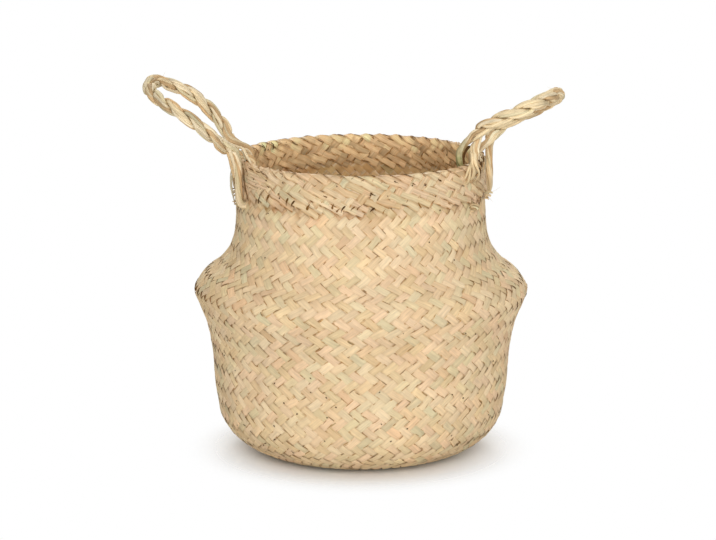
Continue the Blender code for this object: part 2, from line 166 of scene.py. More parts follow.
# Plaiting of the wall. A ring is a level row of crossings, counted from the middle of the base.
STRIPS = 38
BASE_RINGS = STRIPS // 2
SQUARE_RINGS = 3
STRIP_PITCH = 0.0060
BASE_STRIP_ROOM = 0.0076
BASE_RING_ARC = 0.092
ROW_HEIGHT = 0.00365
WALL_MID_DEPTH = 0.0012
LAYER_LIFT = 0.00055
STRIP_DOME = 0.00020
DOME_POWER = 2.2
STRIP_FILL = 1.05
WAVE_EASE = 0.62
BASE_CUT = 0.1
CUT_MARGIN = 0.0005

OUTER = Line(smooth_line(wall_points()))
INNER = OUTER.offset(-WALL_THICKNESS)
MID = OUTER.offset(-WALL_MID_DEPTH)
WALL_ROWS = round((MID.length - BASE_RING_ARC) / ROW_HEIGHT)
ROW = (MID.length - BASE_RING_ARC) / WALL_ROWS
TOP_RING = BASE_RINGS + WALL_ROWS

# Where the points of a crossing lie along a strip, in crossings, and across it, in half widths
SAMPLES = np.array([-0.375, -0.125, 0.125, 0.375])
ACROSS = np.array([-1.0, -0.42, 0.42, 1.0])


def ring_arc(ring):
    """Arc length of a ring of crossings from the middle of the base."""
    inner = ring * BASE_RING_ARC / BASE_RINGS
    return np.where(ring <= BASE_RINGS, inner, BASE_RING_ARC + (ring - BASE_RINGS) * ROW)


def strip_plane(family, row, u):
    """Arc length, angle and ring of points along a strip. The strip crosses the base at a fixed row,
    and each end leans one way up the wall. u counts crossings from the strip's middle."""
    size = abs(row)
    ring = np.abs(u) + size
    on_base = ring < BASE_RINGS
    x, y = (u, np.full_like(u, row)) if family == 0 else (np.full_like(u, row), u)
    quadrant = np.where(y > 0, np.where(x > 0, 0, 1), np.where(x > 0, 3, 2))
    even = quadrant % 2 == 0
    along_u = even == (family == 0)
    turning = np.where(even, np.abs(y), np.abs(x))
    at_edge = np.where(along_u, size, BASE_RINGS - size) / BASE_RINGS
    theta = math.pi / 2 * (quadrant + np.where(on_base, turning / ring, at_edge))
    lean = np.where(along_u, -1.0, 1.0)
    theta = theta + lean * math.pi / (2 * STRIPS) * np.maximum(ring - BASE_RINGS, 0)
    polar = ring_arc(ring)
    t = smoothstep((ring - SQUARE_RINGS) / (BASE_RINGS - SQUARE_RINGS))
    px = (1 - t) * x * STRIP_PITCH + t * polar * np.cos(theta)
    py = (1 - t) * y * STRIP_PITCH + t * polar * np.sin(theta)
    arc = np.where(on_base, np.hypot(px, py), polar)
    angle = np.where(on_base, np.arctan2(py, px), theta)
    return arc, angle, ring


def half_width(ring, arc):
    """Half the width that a strip has room for, on a ring."""
    radius = MID.at(arc)[0][..., 0]
    pitch = np.where(ring > BASE_RINGS, FULL_TURN * radius / (2 * STRIPS), BASE_STRIP_ROOM)
    row = np.where(ring > BASE_RINGS, ROW, BASE_RING_ARC / BASE_RINGS)
    spacing = pitch * row / np.hypot(pitch / 2, row)
    return spacing / 2


def wave(signs):
    """Heights at the samples of each crossing: 1 over, -1 under, eased next to a change."""
    heights = []
    for i, sign in enumerate(signs):
        before, after = signs[max(i - 1, 0)], signs[min(i + 1, len(signs) - 1)]
        low = WAVE_EASE * sign if before != sign else sign
        high = WAVE_EASE * sign if after != sign else sign
        heights += [low, sign, sign, high]
    return np.array(heights)


def spread(values):
    """One value a crossing, eased over its samples."""
    knots = np.arange(len(values))
    return np.interp(np.add.outer(knots, SAMPLES).ravel(), knots, values)


def jitter(count, size):
    """A random value a crossing, eased over its samples."""
    return spread(rng.normal(0, size, count))


def strip_rows(place, out, width, lift, dome=0.0, shift=0.0, twist=0.0):
    """Rows of points across a strip from its middle line. Each measure is one value or one a sample."""
    width, lift, dome, shift, twist = (np.reshape(v, (-1, 1)) for v in (width, lift, dome, shift, twist))
    side = unit(np.cross(unit(np.gradient(place, axis=0)), out))[:, None, :]
    rows = place[:, None, :] + side * (ACROSS * width)[..., None] + side * shift[..., None]
    bend = lift - dome * np.abs(ACROSS) ** DOME_POWER + twist * ACROSS
    return rows + out[:, None, :] * bend[..., None]


# Tones

PALETTE = (
    (0.840, 0.612, 0.409),
    (0.795, 0.602, 0.360),
    (0.760, 0.638, 0.394),
    (0.865, 0.688, 0.460),
    (0.695, 0.615, 0.400),
    (0.795, 0.538, 0.332),
    (0.655, 0.448, 0.245),
)
PALETTE_SHARES = (0.29, 0.21, 0.14, 0.14, 0.09, 0.08, 0.05)
ROPE_PALETTE = (
    (0.860, 0.705, 0.462),
    (0.780, 0.640, 0.412),
    (0.920, 0.790, 0.570),
    (0.700, 0.615, 0.405),
    (0.640, 0.430, 0.228),
)
ROPE_SHARES = (0.30, 0.20, 0.22, 0.14, 0.14)
EVENNESS = 0.15
STRIP_TONE = (0.96, 1.04)
FLOAT_TONE = (0.962, 1.032)
FLOAT_MIX = (0.1, 0.7)
DRIFT, DRIFT_EVERY = 0.03, 8
PATCH_SCALE = 42.0
PATCH_LIGHT = 0.09
PATCH_HUE = np.array([0.02, -0.02, -0.05])
# Painted shade on strips where they pass under the other strips
UNDER_SHADE = np.array([0.84, 0.73, 0.56])
# Painted shade in the small openings between strip corners
HOLE_SHADE = np.array([0.045, 0.022, 0.008])
# Painted shade for dark slits and cracks beside raised strip ends and under the border's toothed edge
SLIT_SHADE = np.array([0.17, 0.075, 0.018])
CRACK_SHADE_BROWN = np.array([0.34, 0.165, 0.045])
TOOTH_SHADOW_BROWN = np.array([0.24, 0.115, 0.032])


def pick_tone(tones=PALETTE, shares=PALETTE_SHARES):
    tone = np.array(tones[rng.choice(len(tones), p=shares)])
    return tone * (1 - EVENNESS) + np.average(tones, axis=0, weights=shares) * EVENNESS


def strip_tones(signs):
    """A tone for each sample: the strip's own, changed from float to float."""
    count = len(signs)
    own = pick_tone() * rng.uniform(*STRIP_TONE)
    knots = np.arange(0, count + DRIFT_EVERY, DRIFT_EVERY)
    drift = spread(np.interp(np.arange(count), knots, rng.normal(0, DRIFT, len(knots))))
    tones = np.empty((count, 3))
    last = None
    for i, sign in enumerate(signs):
        if sign != last:
            mix = rng.uniform(*FLOAT_MIX)
            current = own * (1 - mix) + pick_tone() * mix
            current = current * rng.uniform(*FLOAT_TONE)
            last = sign
        tones[i] = current
    tones = np.repeat(tones, len(SAMPLES), axis=0)
    return np.clip(tones * (1 + drift[:, None]), 0, 1)


def patches(place, tones):
    """Tones made a little lighter, darker, redder or greener in patches a few strips wide."""
    shifts = np.array([noise.noise_vector(Vector(p) * PATCH_SCALE) for p in place])
    return np.clip(tones * (1 + PATCH_LIGHT * shifts[:, :1]) * (1 + shifts[:, 1:2] * PATCH_HUE), 0, 1)


# Meshes


def placed(name, data):
    """A new object in the scene that holds the data."""
    item = bpy.data.objects.new(name, data)
    bpy.context.scene.collection.objects.link(item)
    return item


class Fabric:
    """Collects strips and strands as one mesh, with fibre coordinates and a tone at each point.
    A seed shifts the fibres, so that no two strips look the same."""

    def __init__(self):
        self.points, self.faces, self.uvs, self.tones, self.count = [], [], [], [], 0

    def add(self, grid, corners, u, v, tones, edge):
        """grid: samples x across x 3. corners: its faces, as places in the grid. u, v: fibre
        coordinates. tones: one, or one a sample. edge: how near its dark edge each point is."""
        shape = grid.shape[:2]
        self.points.append(grid.reshape(-1, 3))
        self.faces.append(corners.reshape(-1, 4) + self.count)
        self.uvs.append(np.stack(np.broadcast_arrays(u, v), -1).reshape(-1, 2))
        tone = np.broadcast_to(np.reshape(tones, (-1, 1, 3)), (*shape, 3))
        edge = np.broadcast_to(edge, shape)[..., None]
        self.tones.append(np.concatenate([tone, edge], -1).reshape(-1, 4))
        self.count += shape[0] * shape[1]

    def add_strip(self, rows, along, tones, seed, edge_shade_reach=1.0):
        """rows: samples x across x 3. along: metres along the strip. worn: how far the dark edge
        reaches in, one value or one a sample."""
        index = np.arange(rows.shape[0] * rows.shape[1]).reshape(rows.shape[:2])
        corners = np.stack([index[:-1, :-1], index[1:, :-1], index[1:, 1:], index[:-1, 1:]], -1)
        u = ACROSS * 0.5 + seed * 3.7
        v = (along * 100 + seed * 1.3)[:, None]
        # the dark edge is partly the grass's own darker edge and partly painted shade where strips meet
        edge = np.minimum(np.abs(ACROSS) * np.reshape(edge_shade_reach, (-1, 1)), 1.2)
        self.add(rows, corners, u, v, tones, edge)

    def add_strand(self, line, radii, flat, turn, facets, tones, seed):
        """A tube with an oval section, flat times as thin one way, whose section turns with turn."""
        _, side, lift = frames_along(line)
        angles = np.linspace(0, FULL_TURN, facets, endpoint=False)
        wide = np.cos(angles)[None, :] * radii[:, None]
        thin = np.sin(angles)[None, :] * radii[:, None] * flat
        c, s = np.cos(turn)[:, None], np.sin(turn)[:, None]
        a, b = wide * c - thin * s, wide * s + thin * c
        grid = line[:, None, :] + side[:, None, :] * a[..., None] + lift[:, None, :] * b[..., None]
        index = np.arange(len(line) * facets).reshape(-1, facets)
        beside = np.roll(index, -1, axis=1)
        corners = np.stack([index[:-1], beside[:-1], beside[1:], index[1:]], -1)
        u = np.linspace(0, 1, facets) + seed * 1.7
        v = (arc_lengths(line) * 100 + seed)[:, None]
        self.add(grid, corners, u, v, tones, np.abs(np.cos(angles)) * 0.6)

    def build(self, name, material):
        mesh = bpy.data.meshes.new(name)
        mesh.from_pydata(np.vstack(self.points).tolist(), [], np.vstack(self.faces).tolist())
        corner = np.empty(len(mesh.loops), np.int32)
        mesh.loops.foreach_get("vertex_index", corner)
        layer = mesh.uv_layers.new(name="fibre")
        layer.data.foreach_set("uv", np.vstack(self.uvs)[corner].astype(np.float32).ravel())
        colors = mesh.color_attributes.new("tone", "FLOAT_COLOR", "POINT")
        colors.data.foreach_set("color", np.vstack(self.tones).astype(np.float32).ravel())
        mesh.polygons.foreach_set("use_smooth", np.ones(len(mesh.polygons), bool))
        mesh.materials.append(material)
        mesh.update()
        return placed(name, mesh)


# Dark marks of painted shade on the wall and border

MARK_LIFT = 0.0009
WEDGE = np.array([0.15, 0.45, 0.75, 1.05, 1.25, 0.7])


def add_dashes(fabric, line, low, high, count, tone, slopes, larger=1.0, angles=(0, FULL_TURN)):
    """Dark slits of painted shade beside raised strip ends, in a band of the line between two arc lengths.
    """
    for number in range(count):
        length = rng.uniform(0.0016, 0.0046) * larger
        slope = math.atan(rng.uniform(*slopes))
        t = np.linspace(-0.5, 0.5, len(WEDGE)) * length
        middle = angles[0] + (angles[1] - angles[0]) * (number + rng.uniform(0, 1)) / count
        bow = 0.14 * (length - 4 * t**2 / length)
        theta = middle + (t * math.cos(slope) - bow) / RIM_RADIUS
        arc = rng.uniform(low, high) + t * math.sin(slope) * (1 + 0.25 * np.abs(t) / length)
        place, out = surface(line, arc, theta)
        width = rng.uniform(0.00028, 0.00052) * larger * WEDGE[:: int(rng.choice([-1, 1]))]
        rows = strip_rows(place, out, width, MARK_LIFT)
        fabric.add_strip(rows, t, tone * rng.uniform(0.25, 1.1), 900 + number, 0.5)


def add_holes(fabric, line, low, high, count, lift=MARK_LIFT, angles=(0, FULL_TURN), longer=1.0):
    """Small dark patches of painted shade in the openings where the corners of strips meet."""
    for number in range(count):
        middle = rng.uniform(low, high)
        size = rng.uniform(0.0004, 0.0008)
        theta = rng.uniform(*angles) + np.linspace(-1, 1, 4) * size * 0.8 / RIM_RADIUS
        slant = rng.uniform(-1.4, 1.0) * longer
        place, out = surface(line, middle + np.linspace(-1, 1, 4) * slant * size, theta)
        rows = strip_rows(place, out, np.array([0.2, 0.8, 0.8, 0.2]) * size, lift)
        fabric.add_strip(rows, np.arange(4) * size, HOLE_SHADE, 700 + number)


# Wall

WALL_HOLES = 70
WALL_FILL_RANGE = (0.95, 1.03)
WALL_JITTER = {"width": 0.05, "height": 0.00009, "shift": 0.00030, "twist": 0.00013}
# The shade below the border's toothed edge, which is deepest where the edge is most ragged
TOOTH_ARC = MID.arc_at_height(RIM_HEIGHT - 0.0285)
TOOTH_SHADE_WIDTH = 0.0036
TOOTH_SHADE_SCALE = 210
TOOTH_SHADE_DEPTH = (0.19, 0.55, 0.48)
TOOTH_SHADE_HUE = np.array([0.75, 1.0, 1.25])
RAGGED_AT = 4.22
RAGGED_WIDTH = 0.45
# Dark slits of painted shade where the wall turns up from the base: angles from and to, and how many
TURN_HEIGHTS = (0.010, 0.034)
TURN_DASHES = ((3.20, 4.25, 30), (5.35, 6.15, 20), (0.2, 3.1, 40))


def raggedness(theta):
    """How ragged the border's lower edge is at an angle: most at the front, left of the middle."""
    away = (np.asarray(theta) - RAGGED_AT + math.pi) % FULL_TURN - math.pi
    return np.exp(-((away / RAGGED_WIDTH) ** 2))


def tooth_shade(place, arc, angle):
    """Darker, redder tones below the border's edge, by an uneven depth with a mean, swing and limit."""
    mean, swing, limit = TOOTH_SHADE_DEPTH
    near = np.exp(-(((arc - TOOTH_ARC) / TOOTH_SHADE_WIDTH) ** 2)) * (1 + 0.6 * raggedness(angle))
    shifts = np.array([noise.noise(Vector(p) * TOOTH_SHADE_SCALE) for p in place])
    return 1 - (near * np.clip(mean + swing * shifts, 0, limit))[:, None] * TOOTH_SHADE_HUE


def wall_signs(family, row, crossings):
    """1 where the strip passes over and -1 where it passes under, in a twill over two and under two."""
    signs = []
    for u in crossings:
        ring = int(round(abs(u) + abs(row)))
        x, y = (u, row) if family == 0 else (row, u)
        clockwise = ((x > 0) == (y > 0)) == (family == 0)
        signs.append(1.0 if clockwise == (ring % 4 < 2) else -1.0)
    return signs


def wall_strip(family, row):
    """A strip from the rim over the base to the rim: arc lengths, rows of points, metres, tones."""
    reach = TOP_RING - abs(row)
    crossings = np.arange(-reach, reach + 0.5)
    count = len(crossings)
    signs = wall_signs(family, row, crossings)
    lift = wave(signs)
    arc, angle, ring = strip_plane(family, row, np.add.outer(crossings, SAMPLES).ravel())
    place, out = surface(MID, arc, angle)
    own = STRIP_FILL * rng.uniform(*WALL_FILL_RANGE)
    width = half_width(ring, arc) * own * (1 + jitter(count, WALL_JITTER["width"]))
    height = lift * LAYER_LIFT + jitter(count, WALL_JITTER["height"])
    shift = jitter(count, WALL_JITTER["shift"])
    twist = jitter(count, WALL_JITTER["twist"])
    rows = strip_rows(place, out, width, height, lift * STRIP_DOME, shift, twist)
    tones = patches(place, strip_tones(signs)) * tooth_shade(place, arc, angle)
    # painted shade on the parts of the strip that pass under the other strips
    hidden = smoothstep((-lift - 0.4) / 0.6)[:, None]
    return arc, rows, arc_lengths(place), tones * (1 - hidden * (1 - UNDER_SHADE))


def build_wall(material):
    """The plaited strips, cut into base and belly, shoulder and neck."""
    shoulder_low = MID.arc_at_height(BELLY[1]) - CUT_MARGIN
    shoulder_high = MID.arc_at_height(NECK_FOOT[1]) + CUT_MARGIN
    zones = {
        "base_weave": (-math.inf, BASE_CUT),
        "belly_weave": (BASE_CUT, shoulder_low),
        "shoulder_weave": (shoulder_low, shoulder_high),
        "neck_weave": (shoulder_high, math.inf),
    }
    fabrics = {name: Fabric() for name in zones}
    for number in range(2 * STRIPS):
        family, step = divmod(number, STRIPS)
        arc, rows, along, tones = wall_strip(family, step - (STRIPS - 1) / 2)
        for name, (low, high) in zones.items():
            index = np.flatnonzero((arc >= low) & (arc < high))
            # a strip is cut where it leaves a zone, and both sides keep the shared row
            for run in np.split(index, np.flatnonzero(np.diff(index) > 1) + 1):
                cut = slice(run[0], run[-1] + 2)
                if len(rows[cut]) > 1:
                    fabrics[name].add_strip(rows[cut], along[cut], tones[cut], number)
    belly, neck = fabrics["belly_weave"], fabrics["neck_weave"]
    add_holes(belly, MID, MID.arc_at_height(0.02), shoulder_low - 0.002, WALL_HOLES)
    add_holes(neck, MID, shoulder_high + 0.002, TOOTH_ARC + 0.001, WALL_HOLES // 3)
    low, high = MID.arc_at_height(TURN_HEIGHTS)
    for first, last, count in TURN_DASHES:
        add_dashes(belly, MID, low, high, count, SLIT_SHADE, (-2.5, 2.5), 0.75, (first, last))
    return {name: fabric.build(name, material) for name, fabric in fabrics.items()}


# Border: strips folded over the rim, on a line from its outer edge over the fold to its inner edge

BORDER_OUT = 0.0265
BORDER_IN = 0.0245
BORDER_MID = 0.0010
BORDER_SPARE = 0.010
FOLD_STEPS = 13
BORDER_LIFT = 0.0003
BORDER_DOME = 0.0002
BORDER_FILL = 1.07
BORDER_FILL_RANGE = (0.94, 1.05)
BORDER_JITTER = {"width": 0.06, "height": 0.00012, "shift": 0.0004, "twist": 0.00024}
LONG_STRIPS = 48
CROSS_STRIPS = 76
LONG_SLOPE = math.radians(25)
CROSS_SLOPE = math.radians(50)
RAGGED_LENGTH = 0.0026
# Arc lengths about the crown between which the long strips all pass over
FOLD_BAND = (-0.005, 0.004)
# Lengths over which the strips' outer and inner ends leave their level
OUTER_END, INNER_END = 0.0030, 0.0025
# Painted light and shade on the border's inside: lighter near the crown, browner and darker deeper down
# Depths below the crown at which the inside starts to darken, and over which it does
INSIDE_DEEP = (0.002, 0.020)
OUTSIDE_SHADE = 0.925
INSIDE_PAINTED_LIGHT = np.array([1.36, 1.235, 1.06])
INSIDE_PAINTED_SHADE = np.array([0.88, 0.745, 0.56])
INSIDE_HUE = np.array([1.30, 0.94, 0.55])
INSIDE_HUE_MIX = 0.66
INSIDE_UNEVEN = 0.18
LIGHTNESS = np.array([0.30, 0.59, 0.11])
BORDER_HOLES = 40
# Dark slits of painted shade on the outside: from and to below the crown, how many, tone, slopes, size,
# angles
BORDER_DASHES = (
    (0.0250, 0.0222, 6, TOOTH_SHADOW_BROWN, (1.6, 4.0), 1.7, (3.78, 4.50)),
    (0.0265, 0.0225, 5, SLIT_SHADE, (0.7, 1.9), 1.2, (4.50, 4.80)),
    (0.0265, 0.0225, 18, CRACK_SHADE_BROWN, (-3.0, 3.0), 1.0, (4.80, 9.70)),
    (0.0215, 0.0040, 30, SLIT_SHADE, (-0.62, -0.30), 1.0, (0, FULL_TURN)),
)
SLIVERS = 26
SLIVER_POINTS = 17
# Strip ends that lie almost level on the border's near left end: angle of the right end in degrees,
# span in radians, how far the left end is below the crown, how far the right end is below that,
# half its width, and a tone if it has one of its own. The dark second one is a painted shadow line.
LEVEL_ENDS = (
    (225, 0.43, 0.0010, 0.0018, 0.0016, (0.90, 0.69, 0.46)),
    (224, 0.37, 0.0036, 0.0018, 0.0005, (0.17, 0.075, 0.018)),
    (221, 0.36, 0.0056, 0.0026, 0.0012, None),
    (226, 0.34, 0.0078, 0.0034, 0.0014, None),
    (220, 0.34, 0.0100, 0.0028, 0.0012, None),
    (224, 0.36, 0.0126, 0.0030, 0.0014, None),
    (218, 0.30, 0.0152, 0.0026, 0.0012, None),
)


def border_line():
    """The border's middle line and the arc length of its crown."""
    outside, inside = OUTER.offset(BORDER_MID), OUTER.offset(-WALL_THICKNESS - BORDER_MID)
    down = outside.at_height(np.linspace(RIM_HEIGHT - BORDER_OUT - BORDER_SPARE, WALL_TOP, 40))
    fold = down[-1][0] - RIM_MID
    angles = np.linspace(0, math.pi, FOLD_STEPS + 1)[1:]
    over = np.stack([RIM_MID + fold * np.cos(angles), WALL_TOP + fold * np.sin(angles)], 1)
    up = inside.at_height(np.linspace(WALL_TOP - 0.001, RIM_HEIGHT - BORDER_IN - BORDER_SPARE, 40))
    up[:, 0] += (over[-1][0] - up[0][0]) * np.linspace(1, 0, len(up)) ** 2
    line = Line(np.vstack([down, over, up]))
    return line, line.arc[len(down) + FOLD_STEPS // 2]


BORDER_LINE, CROWN = border_line()


def border_ends(long, number, turn, pace):
    """Arc lengths of a border strip's ends. The long strips reach lower where the edge is ragged."""
    begin = CROWN - BORDER_OUT + rng.uniform(-0.0015, 0.0015)
    end = CROWN + BORDER_IN + rng.uniform(-0.001, 0.001)
    if long:
        return begin - RAGGED_LENGTH * raggedness(turn * number + pace * (begin - CROWN)), end
    return begin + 0.003, end - 0.004


def border_crossings(long, number, count, mates, spacing, begin, end):
    """Where a border strip crosses the other family, and 1 over or -1 under at each crossing."""
    mate_place = number / count * mates
    way = -1 if long else 1
    places, signs = [], []
    for step in range(math.floor((begin - CROWN) / spacing), math.ceil((end - CROWN) / spacing) + 1):
        place = CROWN + (step - way * (mate_place % 1.0)) * spacing
        if begin <= place <= end:
            twill = (number - math.floor(mate_place) - way * step) % 4 < 2
            on_fold = FOLD_BAND[0] < place - CROWN < FOLD_BAND[1]
            places.append(place)
            signs.append(1.0 if (on_fold or twill) == long else -1.0)
    return np.array(places), signs


def border_tones(place, samples, signs, inside):
    """Tones with painted light near the crown and painted shade that turns them browner and darker down the
    inside, more uneven from float to float there.
    """
    inside = inside[:, None]
    deep = smoothstep((samples - CROWN - INSIDE_DEEP[0]) / INSIDE_DEEP[1])[:, None]
    inside_shading = INSIDE_PAINTED_LIGHT * (1 - deep) + INSIDE_PAINTED_SHADE * deep
    floats = np.repeat(rng.normal(0, INSIDE_UNEVEN, (len(signs) + 1) // 2 + 1), 2 * len(SAMPLES))
    tones = patches(place, strip_tones(signs)) * (1 - inside * (1 - inside_shading))
    even_hue = (tones @ LIGHTNESS)[:, None] * INSIDE_HUE
    tones = tones + INSIDE_HUE_MIX * inside * (even_hue - tones)
    level = (1 + floats[: len(samples), None] * inside) * (OUTSIDE_SHADE + (1 - OUTSIDE_SHADE) * inside)
    return np.clip(tones * level, 0, 1)


def add_border_strip(fabric, long, number, count, mates, slope, pace, gap):
    turn, spacing = FULL_TURN / count, gap / mates
    half = RIM_RADIUS * turn * math.sin(slope) / 2 * BORDER_FILL
    begin, end = border_ends(long, number, turn, pace)
    places, signs = border_crossings(long, number, count, mates, spacing, begin, end)
    samples = np.add.outer(places, spacing * SAMPLES).ravel()
    lift, n = wave(signs), len(places)
    place, out = surface(BORDER_LINE, samples, turn * number + pace * (samples - CROWN))
    inside = smoothstep((samples - CROWN + 0.001) / 0.003)
    height = lift * BORDER_LIFT + jitter(n, BORDER_JITTER["height"])
    outer_end = 1 - np.clip((samples - samples[0]) / OUTER_END, 0, 1)
    inner_end = 1 - np.clip((samples[-1] - samples) / INNER_END, 0, 1)
    if long:
        height = height + 0.0002 + outer_end * rng.uniform(-0.0002, 0.0007) - inner_end * 0.0006
    else:
        height = height - (outer_end + inner_end) * 0.0010
    height = height + lift * 0.0003 * inside
    width = half * rng.uniform(*BORDER_FILL_RANGE) * (1 + jitter(n, BORDER_JITTER["width"]))
    dome = (np.abs(lift) if long else lift) * BORDER_DOME
    shift = jitter(n, BORDER_JITTER["shift"])
    twist = jitter(n, BORDER_JITTER["twist"])
    rows = strip_rows(place, out, width, height, dome, shift, twist)
    tones = border_tones(place, samples, signs, inside)
    # painted shade: dark edges reach further in on the border's inside and towards its toothed lower edge
    edge_shade_reach = 1 + 0.38 * inside + 0.20 * smoothstep((CROWN - 0.017 - samples) / 0.006)
    fabric.add_strip(rows, arc_lengths(place), tones, number + (200 if long else 300), edge_shade_reach)


def sliver_places():
    """Start angle, span, first and last arc length, half width and tone of each sliver."""
    for number in range(SLIVERS):
        start = FULL_TURN * (number + rng.uniform(0, 1)) / SLIVERS
        span = rng.uniform(0.30, 0.55)
        first = CROWN + rng.uniform(-0.0030, 0.0010)
        last = first + rng.uniform(-0.0030, 0.0012)
        yield start, span, first, last, rng.uniform(0.0010, 0.0015), None
    for degrees, span, below, fall, half, tone in LEVEL_ENDS:
        yield math.radians(degrees), span, CROWN - below - fall, CROWN - below, half, tone


def add_slivers(fabric):
    """Thin strip ends that run almost along the rim over the folded strips, and one dark line of painted
    shadow.
    """
    t = np.linspace(0, 1, SLIVER_POINTS)
    taper = np.sin(math.pi * np.clip(t, 0.02, 0.98)) ** 0.5
    for number, (start, span, first, last, half, tone) in enumerate(sliver_places()):
        place, out = surface(BORDER_LINE, first + (last - first) * t, start - span * t)
        if tone is None:
            tone = pick_tone() * 0.4 + np.array(PALETTE[0]) * 0.56
        lift = 0.00085 * taper - 0.0002
        rows = strip_rows(place, out, half * taper, lift, dome=0.00008, twist=rng.normal(0, 0.0002))
        fabric.add_strip(rows, span * RIM_RADIUS * t, tone, 500 + number)


def build_border(material):
    fabric = Fabric()
    k_long, k_cross = (1 / (RIM_RADIUS * math.tan(slope)) for slope in (LONG_SLOPE, CROSS_SLOPE))
    gap = FULL_TURN / (k_long + k_cross)
    for number in range(LONG_STRIPS):
        add_border_strip(fabric, True, number, LONG_STRIPS, CROSS_STRIPS, LONG_SLOPE, -k_long, gap)
    for number in range(CROSS_STRIPS):
        add_border_strip(fabric, False, number, CROSS_STRIPS, LONG_STRIPS, CROSS_SLOPE, k_cross, gap)
    add_slivers(fabric)
    add_holes(fabric, BORDER_LINE, CROWN - 0.0235, CROWN - 0.006, BORDER_HOLES)
    # larger dark openings, painted shade, just inside the fold at the rear left
    add_holes(fabric, BORDER_LINE, CROWN + 0.0005, CROWN + 0.0055, 12, 0.0014, (2.42, 2.66), 1.6)
    for low, high, *look in BORDER_DASHES:
        add_dashes(fabric, BORDER_LINE, CROWN - low, CROWN - high, *look)
    return fabric.build("rim_border_weave", material)


# Rope handles

PLY_RADIUS = 0.0026
PLY_GAP = 0.0006
ROPE_TURNS = 6
ROOT_STRAIGHT = 0.006
HANDLE_REACH = 0.065
HANDLE_RISE = 0.046
HANDLE_HALF_WIDTH = 0.042
HINGE_RISE = 0.0052
HOLE_DROP = 0.032
BORDER_HOLE_DROP = 0.013
HOLE_SPREAD = 0.0042
PLY_OFFSET = PLY_RADIUS + PLY_GAP / 2
HINGE_RADIUS = RIM_RADIUS + PLY_RADIUS + GAP
HINGE_HEIGHT = RIM_HEIGHT + HINGE_RISE
LOOP_SPACING, PLY_SPACING, LOOSE_SPACING = 0.0006, 0.0013, 0.0012
# Points of a ply left out beside the hinge, and every how many of the rest its line keeps
ROOT_SKIP, PLY_STEP = 4, 6
UP = np.array([0.0, 0.0, 1.0])

# Strands of a ply: six round a core. Sizes are shares of the ply's radius.
STRAND_COUNT = 6
STRAND_LAY = 0.070
STRAND_FLAT = 0.72
STRAND_RING, CORE_RING = 0.66, 0.12
STRAND_RADIUS, CORE_RADIUS = 0.56, 0.70
SPLAY_LENGTH = 0.010
HAIRS_PER_PLY = 14
HAIRS_AT_ENDS = 12

# Where the two plies press on each other: how much wider, flatter and further in the strands lie
PRESS_WIDER, PRESS_FLATTER, PRESS_IN = 0.50, 0.10, 0.00035
PRESS_FADE = 0.008
CREASE_DEPTH = (0.0017, 0.0014)
CREASE_TINT = np.array([0.42, 0.50, 0.62])
TAIL_TINT = np.array([0.90, 0.86, 0.81])

# The short front tail spreads over the border, and the other ply arches high beside it
FANNED_PLY = 0
FAN_REACH = (-0.002, 0.001, 0.0045, 0.0085, 0.012, 0.015, 0.0065)
FAN_RISE = (0.003, 0.0005, 0.004, 0.001, 0.0035, 0.006, 0.002)
# The arch takes the place of so many points of its tail and of its ply
ARCH_TAIL_SKIP, ARCH_PLY_SKIP = 4, 34
ARCH_WIDTH = 0.004
ARCH_SHADE = np.array([0.31, 0.27, 0.34])
ARCH_POINTS = (
    (0.0726, -0.0412, 0.2268), (0.0722, -0.0428, 0.2314), (0.0727, -0.0449, 0.2358),
    (0.0742, -0.0474, 0.2398), (0.0764, -0.0502, 0.2432), (0.0790, -0.0532, 0.2460),
)

# Routes of the loops, as shares of the reach, the half width and the rise
LEFT_ROUTE = (
    (0.15, -0.75, 0.14), (0.28, -0.87, 0.31), (0.43, -0.96, 0.50), (0.58, -0.99, 0.67), (0.72, -0.91, 0.79),
    (0.84, -0.73, 0.88), (0.94, -0.45, 0.95), (0.99, -0.05, 1.01), (0.97, 0.38, 1.04), (0.89, 0.68, 1.02),
    (0.76, 0.87, 0.94), (0.62, 0.96, 0.85), (0.50, 1.00, 0.75), (0.39, 0.98, 0.63), (0.29, 0.94, 0.50),
    (0.21, 0.88, 0.37), (0.14, 0.79, 0.24),
)
RIGHT_ROUTE = (
    (0.01, -0.78, 0.25), (0.03, -0.84, 0.37), (0.09, -0.91, 0.49), (0.18, -0.97, 0.59), (0.30, -1.00, 0.68),
    (0.44, -0.98, 0.76), (0.60, -0.87, 0.86), (0.73, -0.68, 0.94), (0.82, -0.42, 0.99), (0.86, 0.00, 0.98),
    (0.83, 0.38, 0.89), (0.73, 0.65, 0.77), (0.59, 0.85, 0.65), (0.43, 0.96, 0.52), (0.27, 1.00, 0.41),
    (0.15, 0.95, 0.31), (0.07, 0.87, 0.22),
)
